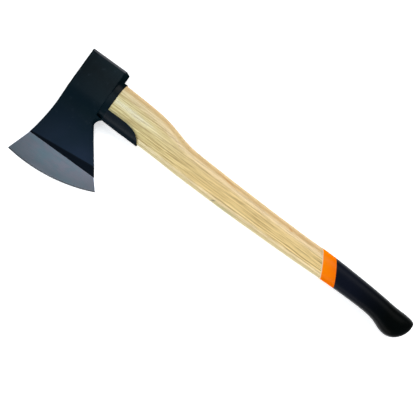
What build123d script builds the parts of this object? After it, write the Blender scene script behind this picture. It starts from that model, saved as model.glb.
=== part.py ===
from build123d import *
import math
import os

# Fire axe with an ash haft, lying flat on one cheek.
# X runs along the haft from the head to the knob, Y runs across the head from the
# cutting edge (-Y) to the poll (+Y), and Z is up, through the thickness.
# The origin is on the resting plane, under the middle of the eye.

# Head: overall
HEAD_THICKNESS = 30.0
MID = HEAD_THICKNESS / 2        # Z of the middle plane that the axe is symmetric about
HEAD_TOP = -30.5                # X of the side where the haft's end shows, at the eye
POLL_TOP = -30.7                # X of that side at the striking face
POLL_BOTTOM = 26.3              # X of the poll's lower side
EYE_BOTTOM = 35.5               # X of the lip round the eye, where the haft's shoulder seats
POLL_FACE = 45.6                # Y of the striking face of the poll
POLL_CHAMFER = 2.8              # along the two cheeks only
CHEEK_CHAMFER = 1.0             # along the upper and lower sides of the cheeks

# Head: blade
NECK_TOP = (-30.4, -26.0)       # where the upper side leaves its straight run
NECK = (-31.4, -42.0)
UPPER_SWEEP = (-34.7, -75.0)    # a point of the upper side between the neck and the toe
LIP_ROOT_Y = -28.5              # Y where the lip round the eye leaves the poll's lower side
LIP_FRONT = (33.5, -29.5)
THROAT = (28.1, -33.9)          # middle of the arc between the lip and the beard
NOTCH = (26.9, -42.2)           # where the beard starts
NOTCH_RADIUS = 2.5
GRIND_LINE = -102.3             # Y where the ground bevel starts, parallel to the haft
TOE_ROOT = (-39.2, GRIND_LINE)
TOE = (-51.9, -140.4)
HEEL_ROOT = (72.4, GRIND_LINE)
HEEL = (87.0, -119.4)
PAST_EDGE = 1.15                # how much longer the plan is than the blade, before the edge is cut
BELOW_BELLY = (18.0, -170.0)    # a corner of the plan beyond the cutting edge
EDGE_RADIUS = 255.0
CHEEK_END = -12.0               # Y where the flat cheek starts to thin towards the blade
SHOULDER = (-50.0, 6.7)         # Y and half thickness where the blade proper starts
BLADE_HALF = 3.6                # half thickness of the blade at the grind line
BLADE_SLOPE = 0.065             # how fast the cheek still thins at the grind line
FACET_SLOPE = 0.155             # the same on the forged facet beside the grind line
FACET_HALF_TOE = 3.55           # half thickness on the grind line below the toe
FACET_HALF_HEEL = 2.35          # and above the heel, where the facet is widest
MICRO_BEVEL = 1.6               # width of the honed strip along the cutting edge
MICRO_HALF = 0.62               # half thickness where the honed strip starts
EDGE_HALF = 0.12                # half thickness of the cutting edge itself

# Eye and tongue: (X, half length along Y, half width along Z)
EYE_CENTRE = 0.8                # Y of the eye's long axis centre
EYE_SECTIONS = [(-40.0, 27.0, 11.6), (8.0, 24.6, 10.0), (40.0, 25.2, 10.5)]
TONGUE_PROUD = 1.0              # how far the haft's end stands out of the head
OVAL_POWER = 2.4                # superellipse power of the haft's and eye's ovals
OVAL_POINTS = 20

# Wedges in the eye
KERF_WEDGE_DEPTH = 44.0
KERF_WEDGE_TOP = 6.0
KERF_WEDGE_TIP = 1.2
STEEL_WEDGE_DEPTH = 24.0
STEEL_WEDGE_TOP = 3.4
STEEL_WEDGE_TIP = 0.6
STEEL_WEDGE_WIDTH = 15.0
STEEL_WEDGE_PLACES = (14.0, -12.0)   # Y of each steel wedge
BARB_COUNT = 4
BARB_STEP = 0.6

# Haft: (X, Y of the back edge, Y of the front edge, half thickness)
HAFT_STATIONS = [
    (28.0, 31.2, -27.7, 12.4),
    (44.0, 30.5, -28.2, 12.4),
    (60.0, 29.8, -28.6, 12.5),
    (92.0, 28.1, -29.0, 12.7),
    (124.0, 23.2, -29.7, 12.9),
    (152.0, 15.8, -30.9, 13.0),
    (178.0, 12.6, -31.7, 13.0),
    (205.0, 11.5, -32.2, 13.0),
    (232.0, 10.4, -32.6, 13.1),
    (265.0, 9.4, -32.8, 13.1),
    (303.0, 8.4, -32.5, 13.1),
    (340.0, 7.7, -32.1, 13.1),
    (375.0, 7.3, -31.5, 13.0),
    (405.0, 7.4, -30.7, 13.0),
    (440.0, 6.5, -29.7, 12.9),
    (484.0, 4.2, -29.9, 12.9),
    (507.0, 2.6, -31.5, 13.4),
    (525.0, 0.8, -36.8, 14.3),
    (540.0, 0.1, -40.3, 14.63),
]
# Knob end: the last station shrinks along a quarter turn into a blunt nose
NOSE_LENGTH = 25.2
NOSE_CENTRE = -10.0             # Y that the nose closes towards
NOSE_ANGLES = (24.0, 43.0, 58.0, 70.0)
NOSE_POWERS = (0.36, 1.05, 0.6)   # fullness of the back, the front and the thickness

# Dipped coats
COAT = 0.35
BAND_START = 406.3              # X of the orange band's upper end, on the haft's centre line
BAND_WIDTH = 21.0               # measured square to its slanted ends
BAND_CENTRE = -11.0             # Y where those X values are taken
BAND_SLANT = 30.0               # degrees that the ends lean from square

# Overstrike guard
GUARD_SHEET = 2.5
GUARD_SIDE = -12.0              # Y of the flange's long edge at the head
GUARD_ROUND = (66.0, -13.2)     # where the flange starts to round off
GUARD_TIP = (95.3, -31.7)
GUARD_TAB_TOP = 13.0            # X of the tab's end inside the eye

# Screw that holds the guard's tongue
SCREW_PLACE = (74.0, -31.1)     # X and Y of the middle of its head, just under the guard's front
SCREW_HEAD = 7.0
SCREW_SHANK = 3.5
SCREW_LENGTH = 22.0
SCREW_POINT = 4.0
SCREW_SLOT = 1.0

FAR = 400.0                     # larger than the part, for cutting tools


def oval(x, back, front, half):
    """One closed oval of the haft or the eye, square to X."""
    centre = (back + front) / 2
    depth = (back - front) / 2
    points = []
    for i in range(OVAL_POINTS):
        turn = 2 * math.pi * i / OVAL_POINTS
        c = math.cos(turn)
        s = math.sin(turn)
        y = centre + depth * math.copysign(abs(c) ** (2 / OVAL_POWER), c)
        z = MID + half * math.copysign(abs(s) ** (2 / OVAL_POWER), s)
        points.append((x, y, z))
    return Wire([Edge.make_spline(points, periodic=True)])


def haft_form(grow=0.0):
    """The haft's outer form from the head to the knob, thickened by grow."""
    rings = []
    for x, back, front, half in HAFT_STATIONS:
        rings.append(oval(x, back + grow, front - grow, half + grow))
    x, back, front, half = HAFT_STATIONS[-1]
    for angle in NOSE_ANGLES:
        c = math.cos(math.radians(angle))
        s = math.sin(math.radians(angle))
        nose_back = NOSE_CENTRE + (back - NOSE_CENTRE) * c ** NOSE_POWERS[0] + grow
        nose_front = NOSE_CENTRE + (front - NOSE_CENTRE) * c ** NOSE_POWERS[1] - grow
        nose_half = half * c ** NOSE_POWERS[2] + grow
        rings.append(oval(x + (NOSE_LENGTH + grow) * s, nose_back, nose_front, nose_half))
    return Solid.make_loft(rings)


def eye_form(shrink=0.0):
    """The tapered oval of the eye, waisted between its two mouths."""
    rings = []
    for x, length, width in EYE_SECTIONS:
        rings.append(oval(x, EYE_CENTRE + length - shrink, EYE_CENTRE - length + shrink, width - shrink))
    return Solid.make_loft(rings, ruled=True)


def slab(x_low, x_high, y_low=-FAR, y_high=FAR):
    """A block between two X planes, and between two Y planes if they are given."""
    block = Box(x_high - x_low, y_high - y_low, FAR, align=(Align.MIN, Align.MIN, Align.CENTER))
    return Pos(x_low, y_low, MID) * block


def edge_centre():
    """Centre of the arc of the cutting edge."""
    chord_x = HEEL[0] - TOE[0]
    chord_y = HEEL[1] - TOE[1]
    chord = math.hypot(chord_x, chord_y)
    rise = math.sqrt(EDGE_RADIUS ** 2 - chord ** 2 / 4)
    return (TOE[0] + HEEL[0]) / 2 - rise * chord_y / chord, (TOE[1] + HEEL[1]) / 2 + rise * chord_x / chord


def beyond(root, tip):
    """The point past a tip of the blade, on the line from its root."""
    return root[0] + (tip[0] - root[0]) * PAST_EDGE, root[1] + (tip[1] - root[1]) * PAST_EDGE


def head_plan():
    """The head seen square to its cheek, running on past the cutting edge."""
    toe_end = beyond(TOE_ROOT, TOE)
    heel_end = beyond(HEEL_ROOT, HEEL)
    with BuildSketch() as plan:
        with BuildLine():
            Polyline(NECK, NECK_TOP, (POLL_TOP, POLL_FACE), (POLL_BOTTOM, POLL_FACE))
            Polyline((POLL_BOTTOM, POLL_FACE), (POLL_BOTTOM, LIP_ROOT_Y), LIP_FRONT)
            ThreePointArc(LIP_FRONT, THROAT, NOTCH)
            Polyline(NOTCH, HEEL_ROOT, heel_end, BELOW_BELLY, toe_end)
            Spline(toe_end, TOE, TOE_ROOT, UPPER_SWEEP, NECK)
        make_face()
        fillet(plan.vertices().sort_by_distance(NOTCH)[0], NOTCH_RADIUS)
    return plan.sketch


def blade_envelope():
    """Facets, ground bevels and honed edge: sections square to X, lofted along the blade."""
    centre_x, centre_y = edge_centre()
    slope_x = (FACET_HALF_HEEL - FACET_HALF_TOE) / (HEEL_ROOT[0] - TOE_ROOT[0])
    poll_y = POLL_FACE + 60.0   # far enough that the facets clear the poll
    rings = []
    for x in (-66, -44, -22, 0, 22, 44, 66, 84, 102):
        edge_y = centre_y - math.sqrt(EDGE_RADIUS ** 2 - (x - centre_x) ** 2)
        grind = FACET_HALF_TOE + slope_x * (x - TOE_ROOT[0])
        poll = grind + FACET_SLOPE * (poll_y - GRIND_LINE)
        half = [(poll_y, poll), (GRIND_LINE, grind), (edge_y + MICRO_BEVEL, MICRO_HALF), (edge_y, EDGE_HALF)]
        upper = [(x, y, MID + h) for y, h in half]
        lower = [(x, y, MID - h) for y, h in reversed(half)]
        rings.append(Wire.make_polygon(upper + lower))
    return Solid.make_loft(rings)


def cheek_profile():
    """Thickness of the head from the poll to the edge, the same all along X."""
    past_poll = POLL_FACE + 5
    past_edge = -180.0
    with BuildSketch(Plane.YZ.offset(-FAR / 2)) as profile:
        with BuildLine():
            for side in (1, -1):
                Line((past_poll, MID + side * MID), (CHEEK_END, MID + side * MID))
                Spline(
                    (CHEEK_END, MID + side * MID),
                    (SHOULDER[0], MID + side * SHOULDER[1]),
                    (GRIND_LINE, MID + side * BLADE_HALF),
                    tangents=((-1, 0), (-1, -side * BLADE_SLOPE)),
                )
                Line((GRIND_LINE, MID + side * BLADE_HALF), (past_edge, MID + side * BLADE_HALF))
            Line((past_poll, 2 * MID), (past_poll, 0))
            Line((past_edge, MID - BLADE_HALF), (past_edge, MID + BLADE_HALF))
        make_face()
    return extrude(profile.sketch, amount=FAR)


def eye_lip():
    """The low oval lip that stands round the lower mouth of the eye."""
    ring = oval(POLL_BOTTOM - 4, 32.4, LIP_FRONT[1] - 0.5, MID - 0.3)
    ring_end = oval(EYE_BOTTOM, 31.6, LIP_FRONT[1], MID - 1.0)
    return Solid.make_loft([ring, ring_end], ruled=True)


def is_poll_edge(edge):
    """Whether an edge of the head runs between the striking face and a cheek."""
    return abs(edge.center().Y - POLL_FACE) < 0.01 and abs(edge.center().Z - MID) > MID - 0.1


def is_side_edge(edge):
    """Whether an edge runs along a cheek's upper or lower side, outside the beard and the bevels."""
    along = edge % 0.5
    in_beard = edge.center().X > 0 and edge.center().Y < LIP_FRONT[1] - 1
    between = GRIND_LINE + 1 < edge.center().Y < POLL_FACE - 1
    return between and not in_beard and max(abs(along.X), abs(along.Z)) < 0.99


def axe_head(eye):
    """Forged head: poll, eye, cheeks, blade with ground bevels."""
    head = extrude(head_plan(), amount=HEAD_THICKNESS)
    head = head & cheek_profile()
    head = chamfer(head.edges().filter_by(is_side_edge), CHEEK_CHAMFER)
    head = chamfer(head.edges().filter_by(is_poll_edge), POLL_CHAMFER)
    head = head & blade_envelope()
    head = head + eye_lip()
    return head - eye


def steel_wedge(y):
    """One barbed steel wedge, driven in across the kerf."""
    top = HEAD_TOP - TONGUE_PROUD
    outline = []
    for i in range(BARB_COUNT):
        start = STEEL_WEDGE_TOP / 2 + (STEEL_WEDGE_TIP - STEEL_WEDGE_TOP) / 2 * i / BARB_COUNT
        outline.append((top + STEEL_WEDGE_DEPTH * i / BARB_COUNT, start))
        outline.append((top + STEEL_WEDGE_DEPTH * (i + 1) / BARB_COUNT, start - BARB_STEP))
    mirrored = [(x, -half) for x, half in reversed(outline)]
    face = make_face(Polyline(*(outline + mirrored), close=True))
    wedge = extrude(face, amount=STEEL_WEDGE_WIDTH / 2, both=True)
    return Pos(0, y, MID) * wedge


def kerf_wedge(eye):
    """Hardwood wedge that spreads the tongue in the eye, along the whole oval."""
    top = HEAD_TOP - TONGUE_PROUD
    tip = top + KERF_WEDGE_DEPTH
    outline = [
        (top, MID + KERF_WEDGE_TOP / 2),
        (tip, MID + KERF_WEDGE_TIP / 2),
        (tip, MID - KERF_WEDGE_TIP / 2),
        (top, MID - KERF_WEDGE_TOP / 2),
    ]
    with BuildSketch(Plane.XZ) as profile:
        with BuildLine():
            Polyline(*outline, close=True)
        make_face()
    return extrude(profile.sketch, amount=FAR / 2, both=True) & eye


def guard_side_outline():
    """Side view of the guard's tongue: straight flange, then a quarter ellipse to the tip."""
    in_front = GUARD_TIP[1] - 10
    length = GUARD_TIP[0] - GUARD_ROUND[0]
    depth = GUARD_ROUND[1] - GUARD_TIP[1]
    with BuildSketch() as side:
        with BuildLine():
            Line((0, GUARD_SIDE), GUARD_ROUND)
            EllipticalCenterArc((GUARD_ROUND[0], GUARD_TIP[1]), length, depth, 0, arc_size=90)
            Polyline(GUARD_TIP, (GUARD_TIP[0], in_front), (0, in_front), (0, GUARD_SIDE))
        make_face()
    return extrude(side.sketch, amount=FAR / 2, both=True)


def overstrike_guard(haft, eye):
    """Bent steel sheet: tab clamped in the eye, step under the lip, channel on the haft's front."""
    outer = haft_form(GUARD_SHEET)
    inner_eye = eye_form(GUARD_SHEET)
    outline = guard_side_outline()
    channel = outer - haft
    channel = channel & slab(EYE_BOTTOM, FAR) & outline
    step = outer & slab(EYE_BOTTOM, EYE_BOTTOM + GUARD_SHEET) & outline
    step = step - inner_eye
    tab = eye - inner_eye
    tab = tab & slab(GUARD_TAB_TOP, EYE_BOTTOM, -FAR, GUARD_SIDE)
    return channel + step + tab


def screw_blank():
    """The countersunk wood screw before its slot is cut, at its place in the front of the guard."""
    upright = (Align.CENTER, Align.CENTER, Align.MIN)
    straight = SCREW_LENGTH - SCREW_POINT
    head = Cone(SCREW_HEAD / 2, SCREW_SHANK / 2, (SCREW_HEAD - SCREW_SHANK) / 2, align=upright)
    shank = Cylinder(SCREW_SHANK / 2, straight, align=upright)
    point = Cone(SCREW_SHANK / 2, 0.3, SCREW_POINT, align=upright)
    return Pos(*SCREW_PLACE, MID) * Rot(-90, 0, 0) * (head + shank + Pos(0, 0, straight) * point)


def screw_mouth():
    """The room over the screw's head, out through the front of the guard."""
    room = Cylinder(SCREW_HEAD / 2, GUARD_SHEET, align=(Align.CENTER, Align.CENTER, Align.MIN))
    return Pos(*SCREW_PLACE, MID) * Rot(90, 0, 0) * room


def screw_slot():
    """The slot across the screw's head, along the haft."""
    return Pos(*SCREW_PLACE, MID) * Box(SCREW_HEAD + 1, 2 * SCREW_SLOT, SCREW_SLOT)


def band_slab(start, width):
    """A slanted slab, square to the middle plane, that cuts a coat to length."""
    block = Box(width, FAR, FAR, align=(Align.MIN, Align.CENTER, Align.CENTER))
    return Pos(start, BAND_CENTRE, MID) * Rot(0, 0, BAND_SLANT) * block


def save(node, shape):
    """Write one node to its own STEP file."""
    export_step(shape, f"parts/{node}.step")


os.makedirs("parts", exist_ok=True)

eye = eye_form()
haft_outer = haft_form()
coat_outer = haft_form(COAT)
steel_wedges = Compound(children=[steel_wedge(y) for y in STEEL_WEDGE_PLACES])
wood_wedge = kerf_wedge(eye)
guard = overstrike_guard(haft_outer, eye)
screw = screw_blank()
guard = guard - screw - screw_mouth()

tongue = eye & slab(HEAD_TOP - TONGUE_PROUD, EYE_BOTTOM + 0.5)
haft = haft_outer & slab(EYE_BOTTOM, 2 * FAR)
haft = haft + tongue
haft = haft - wood_wedge - guard - screw
for wedge in steel_wedges.solids():
    haft = haft - wedge
    wood_wedge = wood_wedge - wedge

shell = coat_outer - haft_outer
orange_band = shell & band_slab(BAND_START, BAND_WIDTH)
grip_start = BAND_START + BAND_WIDTH / math.cos(math.radians(BAND_SLANT))
grip_coat = shell & band_slab(grip_start, FAR)

save("axe_head", axe_head(eye))
save("haft", haft)
save("kerf_wedge", wood_wedge)
save("steel_wedges", steel_wedges)
save("overstrike_guard", guard)
save("guard_screw", screw - screw_slot())
save("orange_band", orange_band)
save("grip_coat", grip_coat)
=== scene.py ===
import math

import bpy
from mathutils import Matrix, Vector


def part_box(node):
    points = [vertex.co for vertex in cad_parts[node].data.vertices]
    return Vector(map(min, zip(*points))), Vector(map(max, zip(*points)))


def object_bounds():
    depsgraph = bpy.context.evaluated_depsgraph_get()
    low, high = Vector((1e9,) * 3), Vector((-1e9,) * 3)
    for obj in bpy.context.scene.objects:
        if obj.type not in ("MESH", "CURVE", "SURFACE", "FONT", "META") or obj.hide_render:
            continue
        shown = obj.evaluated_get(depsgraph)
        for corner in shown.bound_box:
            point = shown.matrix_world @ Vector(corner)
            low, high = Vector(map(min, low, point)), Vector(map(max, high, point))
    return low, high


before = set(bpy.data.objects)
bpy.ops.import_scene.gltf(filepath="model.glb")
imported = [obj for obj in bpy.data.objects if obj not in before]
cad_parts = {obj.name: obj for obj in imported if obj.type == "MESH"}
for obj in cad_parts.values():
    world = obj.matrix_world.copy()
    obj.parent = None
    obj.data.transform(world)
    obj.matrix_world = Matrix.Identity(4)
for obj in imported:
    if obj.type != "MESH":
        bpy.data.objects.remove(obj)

CAD_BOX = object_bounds()

MM = 0.001

# Head: places measured from the low X and high Y corner of its box
GRIND_BELOW_POLL = 148.8 * MM
TOE_ROOT_X = 12.7 * MM
FACET_AT_TOE = 2.4 * MM
FACET_LEAN = 0.104                          # how much the forged facet widens towards the heel
EDGE_CENTRE = (32.8 * MM, 66.9 * MM)        # centre of the arc of the cutting edge
EDGE_RADIUS = 255 * MM
HONED_WIDTH = 1.5 * MM

# Haft: growth rings round a distant pith, and a nick in the front edge
RING_CENTRE = (-200 * MM, 100 * MM)
RING_GAP = 2.6 * MM
NICK_FROM_END = 261.5 * MM
NICK_FROM_BACK = 60.5 * MM
MINERAL_FROM_END = 262 * MM
MINERAL_FROM_BACK = 25.8 * MM
KNOT_FROM_END = 375 * MM
KNOT_FROM_BACK = 29.3 * MM

BAND_SLANT = math.radians(30)
BAND_WIDTH = 21 * MM

SIDE_LIMIT = 0.75                           # Z of the normal where a dull-sided coat starts to shine
CLOUDS = 18                                 # cells to the metre of the paint's uneven thickness
FORGE_SCALE = 150                           # and of the marks that forging leaves under it

# Camera and stage
CAMERA_HEIGHT = 805 * MM
CAMERA_OFFSET = (-25.3 * MM, 6.2 * MM)      # from the middle of the axe
CAMERA_TURN = math.radians(-36.0)
CAMERA_LENS = 47.8
SENSOR_MM = 36.0
FLOOR_HALF = 200.0
FLOOR_GLOW = 0.55
SOFTBOX_SIZE = (2.4, 1.0)
SOFTBOX_POWER = 33.0
SOFTBOX_ALONG = 0.2                         # how far both softboxes are shifted towards the knob
BACK_SOFTBOX = (1.25, 1.65)                 # distance from the axe's middle along Y, and height
FRONT_SOFTBOX = (-1.9, 1.2)
GLINT_PLACE = (-0.27, 0.17, 1.5)
GLINT_TARGET = (60 * MM, 0.0, 30 * MM)      # on top of the haft, beside the head
GLINT_SIZE = (0.17, 0.17)
GLINT_POWER = 2.3
GLINT_COLOUR = (0.7, 0.88, 1.0)
SKY = [                                     # sine of the elevation, and the colour there
    (0.02, (0.95, 0.95, 0.95, 1.0)),
    (0.30, (0.62, 0.62, 0.63, 1.0)),
    (0.60, (0.26, 0.28, 0.30, 1.0)),
    (0.85, (0.045, 0.062, 0.080, 1.0)),
]


# Node helpers

class Graph:
    """A material's node tree, with short calls for the nodes that the materials share."""

    def __init__(self, name):
        self.material = bpy.data.materials.new(name)
        self.material.use_nodes = True
        self.tree = self.material.node_tree
        self.tree.nodes.clear()
        self.output = self.add("ShaderNodeOutputMaterial")
        self.shader = self.add("ShaderNodeBsdfPrincipled")
        self.link(self.shader.outputs["BSDF"], self.output.inputs["Surface"])
        self.place = self.add("ShaderNodeTexCoord").outputs["Object"]

    def add(self, kind, **settings):
        node = self.tree.nodes.new(kind)
        for key, value in settings.items():
            setattr(node, key, value)
        return node

    def link(self, source, target):
        self.tree.links.new(source, target)

    def feed(self, target, value):
        """Set a socket to a number or colour, or link it to another node's output."""
        if isinstance(value, bpy.types.NodeSocket):
            self.link(value, target)
        elif isinstance(value, tuple) and len(value) == 3 and len(target.default_value) == 4:
            target.default_value = (*value, 1.0)
        else:
            target.default_value = value

    def set(self, name, value):
        self.feed(self.shader.inputs[name], value)

    def math(self, operation, a, b=0.0):
        node = self.add("ShaderNodeMath", operation=operation)
        self.feed(node.inputs[0], a)
        self.feed(node.inputs[1], b)
        return node.outputs[0]

    def product(self, *values):
        result = values[0]
        for value in values[1:]:
            result = self.math("MULTIPLY", result, value)
        return result

    def total(self, *values):
        result = values[0]
        for value in values[1:]:
            result = self.math("ADD", result, value)
        return result

    def vector_math(self, operation, a, b=(0.0, 0.0, 0.0)):
        node = self.add("ShaderNodeVectorMath", operation=operation)
        self.feed(node.inputs[0], a)
        self.feed(node.inputs[1], b)
        return node.outputs["Value" if operation in ("LENGTH", "DOT_PRODUCT", "DISTANCE") else "Vector"]

    def mapped(self, scale, move=(0.0, 0.0, 0.0), turn=0.0):
        """The object's coordinates, scaled, turned about Z and moved."""
        node = self.add("ShaderNodeMapping")
        self.link(self.place, node.inputs["Vector"])
        node.inputs["Location"].default_value = move
        node.inputs["Rotation"].default_value = (0.0, 0.0, turn)
        node.inputs["Scale"].default_value = scale
        return node.outputs["Vector"]

    def inside(self, centre, size, turn=0.0, soft=0.5):
        """1 inside an ellipse in the XY plane, fading to 0 at its rim."""
        node = self.add("ShaderNodeMapping", vector_type="TEXTURE")
        self.link(self.place, node.inputs["Vector"])
        node.inputs["Location"].default_value = (*centre, 0.0)
        node.inputs["Rotation"].default_value = (0.0, 0.0, turn)
        node.inputs["Scale"].default_value = (*size, 1000.0)
        return self.ramp(self.vector_math("LENGTH", node.outputs["Vector"]), 1.0, 1.0 - soft)

    def axes(self, vector=None):
        """The X, Y and Z of a vector, or of the object's coordinates."""
        node = self.add("ShaderNodeSeparateXYZ")
        self.link(vector or self.place, node.inputs[0])
        return node.outputs

    def normal(self):
        return self.add("ShaderNodeNewGeometry").outputs["Normal"]

    def upright(self):
        """1 on faces that look straight up or down, and 0 on faces that look sideways."""
        return self.math("ABSOLUTE", self.axes(self.normal())[2])

    def dull_sides(self, level):
        """Specular level of a coat that is smooth on its upward faces and dull on its sides."""
        self.set("Specular IOR Level", self.product(self.ramp(self.upright(), SIDE_LIMIT, 1.0), level))

    def noise(self, vector, scale=1.0, detail=3.0, roughness=0.5):
        node = self.add("ShaderNodeTexNoise")
        self.link(vector, node.inputs["Vector"])
        node.inputs["Scale"].default_value = scale
        node.inputs["Detail"].default_value = detail
        node.inputs["Roughness"].default_value = roughness
        return node.outputs["Fac"]

    def grain(self, scale, detail=3.0, roughness=0.5):
        """Noise that is the same in all directions, with this many cells to the metre."""
        return self.noise(self.place, scale, detail, roughness)

    def ramp(self, value, low, high, start=0.0, end=1.0, smooth=True):
        """Map a value from low..high to start..end, held at both ends."""
        node = self.add("ShaderNodeMapRange", interpolation_type="SMOOTHSTEP" if smooth else "LINEAR")
        self.feed(node.inputs["Value"], value)
        for socket, number in zip(("From Min", "From Max", "To Min", "To Max"), (low, high, start, end)):
            node.inputs[socket].default_value = number
        return node.outputs["Result"]

    def mix(self, factor, a, b):
        node = self.add("ShaderNodeMix", data_type="RGBA")
        self.feed(node.inputs[0], factor)
        self.feed(node.inputs[6], a)
        self.feed(node.inputs[7], b)
        return node.outputs[2]

    def fade(self, factor, a, b):
        node = self.add("ShaderNodeMix", data_type="FLOAT")
        self.feed(node.inputs[0], factor)
        self.feed(node.inputs[2], a)
        self.feed(node.inputs[3], b)
        return node.outputs[0]

    def bump(self, height, distance, strength=1.0, normal=None):
        node = self.add("ShaderNodeBump")
        node.inputs["Distance"].default_value = distance
        node.inputs["Strength"].default_value = strength
        self.link(height, node.inputs["Height"])
        if normal is not None:
            self.link(normal, node.inputs["Normal"])
        return node.outputs["Normal"]

    def edge_wear(self, radius, threshold):
        """1 on the sharp outer edges within a radius, broken up by noise, and 0 elsewhere."""
        bevel = self.add("ShaderNodeBevel", samples=6)
        bevel.inputs["Radius"].default_value = radius
        sameness = self.vector_math("DOT_PRODUCT", bevel.outputs["Normal"], self.normal())
        chips = self.ramp(self.grain(420, 4, 0.6), 0.3, 0.7, -0.06, 0.06)
        level = self.math("ADD", self.math("SUBTRACT", 1.0, sameness), chips)
        return self.ramp(level, threshold, threshold + 0.05)


def paint(node, material):
    """Give a CAD node one material in all its slots."""
    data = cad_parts[node].data
    data.materials.clear()
    data.materials.append(material)


# Materials

def head_paint(g, x, y, low, high, grind_line):
    """Colour of the paint: darker at the poll, lighter towards the edge as painted light on the hollow
    cheek, bluer in the beard, painted black on the facet as a painted dark reflection, and rubbed away
    round the poll's face."""
    cloud = g.grain(CLOUDS)
    scale = g.grain(FORGE_SCALE, 4, 0.6)
    below_poll = g.ramp(y, high.y - 20 * MM, high.y - 75 * MM)
    towards_edge = g.ramp(y, high.y - 80 * MM, grind_line, smooth=False)
    in_beard = g.product(g.ramp(x, low.x + 7 * MM, low.x + 87 * MM), towards_edge, 0.8)
    colour = g.mix(below_poll, (0.0016, 0.0042, 0.0058), (0.0026, 0.0078, 0.0122))
    # painted light: the paint turns lighter and bluer towards the edge, standing in for light caught by
    # the hollow cheek
    colour = g.mix(towards_edge, colour, (0.0072, 0.0135, 0.0230))
    colour = g.mix(in_beard, colour, (0.0140, 0.0250, 0.0500))
    colour = g.mix(g.ramp(cloud, 0.4, 0.75, 0.0, 0.5), colour, (0.0035, 0.0110, 0.0150))
    colour = g.mix(g.ramp(scale, 0.58, 0.75, 0.0, 0.5), colour, (0.0120, 0.0200, 0.0280))
    # painted reflection: the forged facet above the grind line is painted near-black, standing in for the
    # dark surroundings it mirrors
    from_toe = g.math("SUBTRACT", x, low.x + TOE_ROOT_X)
    facet_top = g.total(grind_line + FACET_AT_TOE, g.product(from_toe, FACET_LEAN))
    facet = g.ramp(g.math("SUBTRACT", y, facet_top), 0.5 * MM, -0.5 * MM, 0.0, 0.85)
    colour = g.mix(facet, colour, (0.0012, 0.0022, 0.0036))
    rub = g.product(g.ramp(y, high.y - 3.4 * MM, high.y - 2.6 * MM), g.ramp(g.upright(), 0.3, 0.5))
    rub = g.product(rub, g.ramp(scale, 0.25, 0.6, 0.55, 1.0))
    return g.mix(rub, colour, (0.085, 0.085, 0.092))


def ground_steel(g, x, reach, low, scratch):
    """Colour of the ground bevel: cool and mottled, darker at the toe, the edge and the honed strip."""
    mottle = g.noise(g.mapped((30, 48, 30)), 1, 5, 0.65)
    colour = g.mix(g.ramp(mottle, 0.36, 0.64), (0.48, 0.63, 0.71), (0.66, 0.63, 0.72))
    colour = g.mix(g.ramp(scratch, 0.3, 0.7, 0.0, 0.35), colour, (0.34, 0.38, 0.43))
    colour = g.mix(g.ramp(x, low.x, low.x + 60 * MM, 0.5, 0.0), colour, (0.38, 0.42, 0.47))
    colour = g.mix(g.ramp(reach, EDGE_RADIUS - 26 * MM, EDGE_RADIUS, 0.0, 0.5), colour, (0.36, 0.40, 0.44))
    edge = EDGE_RADIUS - HONED_WIDTH
    return g.mix(g.ramp(reach, edge - 0.2 * MM, edge + 0.2 * MM), colour, (0.05, 0.055, 0.06))


def head_material():
    """Blue-black paint over forged steel, with bare ground bevels and a honed edge."""
    g = Graph("forged_head")
    low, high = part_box("axe_head")
    x, y, _ = g.axes()
    grind_line = high.y - GRIND_BELOW_POLL
    bevel = g.ramp(y, grind_line + 0.15 * MM, grind_line - 0.15 * MM)
    flat = g.mapped((1, 1, 0))
    reach = g.vector_math("DISTANCE", flat, (low.x + EDGE_CENTRE[0], high.y + EDGE_CENTRE[1], 0.0))
    scratch = g.noise(g.mapped((40, 2600, 40), turn=0.08), 1, 3, 0.6)
    cross = g.noise(g.mapped((1500, 60, 60), turn=-0.5), 1, 3, 0.6)
    fine = g.grain(900)

    bare = g.math("MAXIMUM", bevel, g.product(g.edge_wear(0.7 * MM, 0.3), 0.04))
    colour = head_paint(g, x, y, low, high, grind_line)
    g.set("Base Color", g.mix(bare, colour, ground_steel(g, x, reach, low, scratch)))
    g.set("Metallic", bare)
    g.dull_sides(0.07)
    marks = g.total(scratch, g.product(cross, 0.4))
    painted_roughness = g.ramp(fine, 0.2, 0.8, 0.27, 0.36)
    ground_roughness = g.ramp(marks, 0.4, 1.1, 0.30, 0.43)
    g.set("Roughness", g.fade(bare, painted_roughness, ground_roughness))
    forged = g.bump(g.grain(CLOUDS), 0.5 * MM, 0.25)
    dimples = g.bump(g.grain(FORGE_SCALE, 4, 0.6), 0.12 * MM, 0.3, forged)
    height = g.fade(bevel, g.product(fine, 0.3), g.product(marks, 0.12))
    g.set("Normal", g.bump(height, 0.15 * MM, 0.5, dimples))
    return g.material


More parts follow.
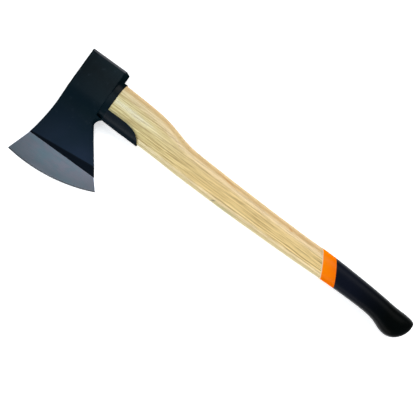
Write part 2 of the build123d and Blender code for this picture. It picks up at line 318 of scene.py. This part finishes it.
def ash_material():
    """Lacquered ash: growth rings drawn out along the haft, pores, a back edge painted tan and orange as
    shade, and a front side painted darker as shade.
    """
    g = Graph("ash")
    low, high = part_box("haft")
    x = g.axes()[0]
    drift = g.noise(g.mapped((3.0, 20, 20)), 1, 2)
    wobble = g.noise(g.mapped((14, 160, 160)), 1, 2)
    off_pith = g.vector_math("LENGTH", g.mapped((0, 1, 1), move=(0, -RING_CENTRE[0], -RING_CENTRE[1])))
    rings = g.total(g.product(off_pith, 1 / RING_GAP), g.product(drift, 2.5), g.product(wobble, 0.25))
    phase = g.math("FRACT", rings)
    early = g.product(g.ramp(phase, 0.0, 0.1), g.ramp(phase, 0.46, 0.14))
    fibre = g.noise(g.mapped((4, 520, 520)), 1, 3, 0.6)
    dash = g.noise(g.mapped((18, 900, 900)), 1, 2, 0.6)
    streak = g.noise(g.mapped((60, 1500, 1500)), 1, 2, 0.6)
    broad = g.noise(g.mapped((5, 90, 90)), 1, 3, 0.6)
    blotch = g.noise(g.mapped((5, 40, 40)), 1, 2)
    pores = g.product(g.ramp(streak, 0.54, 0.66), g.ramp(early, 0.1, 0.6, 0.2, 1.0))
    facing = g.axes(g.normal())

    along = g.ramp(x, low.x + 60 * MM, low.x + 260 * MM)
    line = g.mix(along, (0.42, 0.34, 0.115), (0.47, 0.325, 0.12))
    colour = g.mix(along, (0.76, 0.69, 0.36), (0.90, 0.67, 0.30))
    colour = g.mix(g.ramp(fibre, 0.40, 0.62, 0.0, 0.5), colour, line)
    colour = g.mix(g.ramp(broad, 0.5, 0.75, 0.0, 0.3), colour, (0.74, 0.63, 0.37))
    colour = g.mix(g.product(early, 0.35), colour, line)
    colour = g.mix(g.ramp(dash, 0.5, 0.6, 0.0, 0.8), colour, (0.34, 0.22, 0.070))
    # painted shade: the back-facing side is laid tan in blotches, standing in for the shade on the haft's
    # rounded back edge
    back_edge_tan_shade = g.product(g.ramp(facing[1], -0.05, 0.6), g.ramp(blotch, 0.2, 0.6, 0.6, 1.0))
    back_edge_tan_shade = g.product(back_edge_tan_shade, g.ramp(fibre, 0.36, 0.62, 1.0, 0.6))
    colour = g.mix(back_edge_tan_shade, colour, (0.58, 0.36, 0.140))
    # painted shade: an orange tone in blotches laid only on the back-facing side of the haft
    back_edge_orange_shade = g.product(g.ramp(broad, 0.55, 0.7), g.ramp(facing[1], 0.2, 0.6), 0.6)
    colour = g.mix(back_edge_orange_shade, colour, (0.56, 0.27, 0.08))
    # painted shade: faces turned to the front are darker olive, standing in for the shaded rim along the
    # front edge
    colour = g.mix(g.ramp(facing[1], -0.2, -0.95, 0.0, 0.8), colour, (0.42, 0.345, 0.145))
    colour = g.mix(g.ramp(facing[0], -0.7, -0.95, 0.0, 0.6), colour, (0.30, 0.20, 0.08))
    colour = g.mix(g.product(pores, 0.6), colour, (0.25, 0.18, 0.07))

    nick_centre = (low.x + NICK_FROM_END, high.y - NICK_FROM_BACK)
    mineral_centre = (low.x + MINERAL_FROM_END, high.y - MINERAL_FROM_BACK)
    knot_centre = (low.x + KNOT_FROM_END, high.y - KNOT_FROM_BACK)
    nick = g.inside(nick_centre, (4.5 * MM, 1.3 * MM), math.radians(28))
    # a darker olive patch along the front edge just past the nick
    olive_patch_centre = (nick_centre[0] + 20 * MM, nick_centre[1] - 3.5 * MM)
    olive_patch = g.inside(olive_patch_centre, (30 * MM, 7 * MM), 0.0, 0.8)
    olive_patch = g.product(olive_patch, g.ramp(fibre, 0.3, 0.6, 0.5, 0.9))
    colour = g.mix(olive_patch, colour, (0.34, 0.30, 0.12))
    colour = g.mix(g.product(nick, 0.85), colour, (0.15, 0.13, 0.06))
    mineral = g.inside(mineral_centre, (26 * MM, 1.1 * MM), math.radians(-7.5))
    knot = g.inside(knot_centre, (5 * MM, 1.6 * MM), math.radians(-15))
    colour = g.mix(g.product(g.math("MAXIMUM", mineral, knot), 0.75), colour, (0.55, 0.26, 0.06))
    g.set("Base Color", colour)
    g.set("Roughness", g.ramp(fibre, 0.2, 0.8, 0.36, 0.52))
    g.set("Coat Weight", 0.5)
    g.set("Coat Roughness", 0.18)
    height = g.total(fibre, g.product(pores, -1.0), g.product(nick, -4.0))
    g.set("Normal", g.bump(height, 0.06 * MM, 0.4))
    return g.material


def wedge_wood_material():
    """Raw hardwood of the kerf wedge, seen from its end: dense fibres and open pores."""
    g = Graph("wedge_hardwood")
    fibre = g.noise(g.mapped((60, 900, 900)), 1, 4, 0.6)
    band = g.noise(g.mapped((20, 140, 900)), 1, 2)
    pores = g.ramp(g.noise(g.mapped((80, 2600, 2600)), 1, 2), 0.6, 0.7)
    colour = g.mix(g.ramp(fibre, 0.3, 0.7), (0.34, 0.19, 0.085), (0.21, 0.105, 0.048))
    colour = g.mix(g.ramp(band, 0.4, 0.6, 0.0, 0.5), colour, (0.42, 0.25, 0.12))
    colour = g.mix(g.product(pores, 0.7), colour, (0.07, 0.035, 0.018))
    g.set("Base Color", colour)
    g.set("Roughness", 0.7)
    g.set("Normal", g.bump(g.math("SUBTRACT", fibre, pores), 0.12 * MM, 0.5))
    return g.material


def orange_material():
    """Dipped orange: a pale primer line at the wood, then a coat that thickens away from it."""
    g = Graph("orange_dip")
    low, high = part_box("orange_band")
    x, y, _ = g.axes()
    from_wood = g.product(g.math("SUBTRACT", x, low.x), math.cos(BAND_SLANT))
    from_wood = g.total(from_wood, g.product(g.math("SUBTRACT", y, high.y), math.sin(BAND_SLANT)))
    waver = g.ramp(g.grain(120), 0.3, 0.7, -0.15 * MM, 0.15 * MM)
    rim = g.ramp(g.total(from_wood, waver), 1.3 * MM, 0.7 * MM)
    thick = g.ramp(from_wood, 1 * MM, BAND_WIDTH, smooth=False)
    colour = g.mix(thick, (0.90, 0.225, 0.001), (0.82, 0.150, 0.0005))
    # painted shade: faces turned to the front are a darker orange
    front = g.ramp(g.axes(g.normal())[1], -0.1, -0.9, 0.0, 0.8)
    colour = g.mix(front, colour, (0.66, 0.125, 0.001))
    colour = g.mix(g.ramp(g.grain(60), 0.3, 0.7, 0.0, 0.25), colour, (0.78, 0.13, 0.0))
    g.set("Base Color", g.mix(rim, colour, (0.72, 0.58, 0.38)))
    g.dull_sides(0.06)
    skin = g.noise(g.mapped((40, 700, 700)), 1, 3)
    g.set("Roughness", g.ramp(skin, 0.2, 0.8, 0.3, 0.4))
    g.set("Normal", g.bump(g.total(skin, g.product(rim, -0.8)), 0.05 * MM, 0.4))
    return g.material


def grip_material():
    """Dipped black: navy behind the orange band, black at the knob, with the wood's grain under it."""
    g = Graph("black_dip")
    low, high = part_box("grip_coat")
    x = g.axes()[0]
    towards_knob = g.ramp(x, low.x + 10 * MM, high.x - 30 * MM)
    colour = g.mix(towards_knob, (0.0050, 0.0066, 0.0135), (0.0010, 0.0015, 0.0012))
    colour = g.mix(g.ramp(g.grain(30), 0.35, 0.7, 0.0, 0.25), colour, (0.0025, 0.0045, 0.0060))
    g.set("Base Color", colour)
    shine = g.ramp(g.upright(), 0.9, 0.45, 0.03, 0.12)
    g.set("Specular IOR Level", g.product(shine, g.ramp(x, low.x, high.x, 1.1, 0.6, smooth=False)))
    under = g.noise(g.mapped((12, 420, 420)), 1, 2)
    skin = g.grain(800, 4, 0.6)
    g.set("Roughness", g.ramp(skin, 0.2, 0.8, 0.27, 0.36))
    g.set("Normal", g.bump(skin, 0.04 * MM, 0.4, g.bump(under, 0.05 * MM, 0.35)))
    return g.material


def guard_material():
    """Powder-coated sheet: satin black with a fine pebbled skin, rubbed thin on its outer edges."""
    g = Graph("guard_black")
    cloud = g.grain(30)
    skin = g.grain(1100, 3)
    colour = g.mix(g.ramp(cloud, 0.3, 0.7), (0.0040, 0.0075, 0.0110), (0.0065, 0.0105, 0.0150))
    rub = g.product(g.edge_wear(0.5 * MM, 0.12), 0.6)
    g.set("Base Color", g.mix(rub, colour, (0.055, 0.055, 0.06)))
    g.dull_sides(0.13)
    g.set("Roughness", g.ramp(skin, 0.2, 0.8, 0.3, 0.4))
    g.set("Normal", g.bump(skin, 0.1 * MM, 0.5))
    return g.material


def steel_material(name, colour, roughness):
    """Raw or blackened steel with fine marks."""
    g = Graph(name)
    marks = g.grain(700, 4)
    g.set("Base Color", g.mix(g.ramp(marks, 0.3, 0.7), colour, tuple(0.6 * c for c in colour)))
    g.set("Metallic", 1.0)
    g.set("Roughness", g.ramp(marks, 0.2, 0.8, roughness - 0.08, roughness + 0.08))
    g.set("Normal", g.bump(marks, 0.05 * MM, 0.4))
    return g.material


paint("axe_head", head_material())
paint("haft", ash_material())
paint("kerf_wedge", wedge_wood_material())
paint("steel_wedges", steel_material("wedge_iron", (0.30, 0.30, 0.31), 0.45))
paint("guard_screw", steel_material("blackened_screw", (0.12, 0.12, 0.13), 0.4))
paint("overstrike_guard", guard_material())
paint("orange_band", orange_material())
paint("grip_coat", grip_material())


# Stage, lights and camera

def floor():
    """A pale floor that the axe lies on, lit a little from below as a light table is."""
    g = Graph("floor_pale")
    g.set("Base Color", (0.9, 0.9, 0.9))
    g.set("Roughness", 0.9)
    g.set("Emission Color", (1.0, 1.0, 1.0))
    g.set("Emission Strength", FLOOR_GLOW)
    mesh = bpy.data.meshes.new("floor")
    level = CAD_BOX[0].z
    corners = [(-1, -1), (1, -1), (1, 1), (-1, 1)]
    mesh.from_pydata([(FLOOR_HALF * a, FLOOR_HALF * b, level) for a, b in corners], [], [(0, 1, 2, 3)])
    mesh.materials.append(g.material)
    plane = bpy.data.objects.new("floor", mesh)
    bpy.context.scene.collection.objects.link(plane)


def softbox(name, place, target, size, power, colour=(1.0, 1.0, 1.0)):
    """A rectangular area light aimed at a point."""
    light = bpy.data.lights.new(name, "AREA")
    light.shape = "RECTANGLE"
    light.size, light.size_y = size
    light.energy = power
    light.color = colour
    lamp = bpy.data.objects.new(name, light)
    bpy.context.scene.collection.objects.link(lamp)
    lamp.location = place
    lamp.rotation_euler = (Vector(target) - Vector(place)).to_track_quat("-Z", "Y").to_euler()


def sky():
    """Soft studio surround: dim and cool straight above, bright towards the horizon."""
    world = bpy.data.worlds.new("studio")
    bpy.context.scene.world = world
    world.use_nodes = True
    tree = world.node_tree
    background = tree.nodes["Background"]
    coord = tree.nodes.new("ShaderNodeTexCoord")
    split = tree.nodes.new("ShaderNodeSeparateXYZ")
    height = tree.nodes.new("ShaderNodeValToRGB")
    tree.links.new(coord.outputs["Generated"], split.inputs[0])
    tree.links.new(split.outputs[2], height.inputs["Fac"])
    tree.links.new(height.outputs["Color"], background.inputs["Color"])
    stops = height.color_ramp.elements
    stops[0].position, stops[0].color = SKY[0]
    stops[1].position, stops[1].color = SKY[-1]
    for place, colour in SKY[1:-1]:
        stops.new(place).color = colour


def camera():
    """Straight above the axe, turned so that the haft runs down to the right."""
    low, high = CAD_BOX
    middle = (low + high) / 2
    right = Vector((math.cos(CAMERA_TURN), -math.sin(CAMERA_TURN), 0.0))
    up = Vector((math.sin(CAMERA_TURN), math.cos(CAMERA_TURN), 0.0))
    place = Vector((middle.x + CAMERA_OFFSET[0], middle.y + CAMERA_OFFSET[1], CAMERA_HEIGHT))
    data = bpy.data.cameras.new("camera")
    data.sensor_width = SENSOR_MM
    data.lens = CAMERA_LENS
    eye = bpy.data.objects.new("camera", data)
    bpy.context.scene.collection.objects.link(eye)
    turned = Matrix((right, up, Vector((0, 0, 1)))).transposed().to_4x4()
    eye.matrix_world = Matrix.Translation(place) @ turned
    bpy.context.scene.camera = eye


floor()
sky()
middle = (CAD_BOX[0] + CAD_BOX[1]) / 2
for name, (across, height) in (("back_softbox", BACK_SOFTBOX), ("front_softbox", FRONT_SOFTBOX)):
    place = (middle.x + SOFTBOX_ALONG, middle.y + across, height)
    softbox(name, place, middle, SOFTBOX_SIZE, SOFTBOX_POWER)
softbox("glint", GLINT_PLACE, GLINT_TARGET, GLINT_SIZE, GLINT_POWER, GLINT_COLOUR)
camera()
bpy.context.scene.view_settings.view_transform = "Standard"
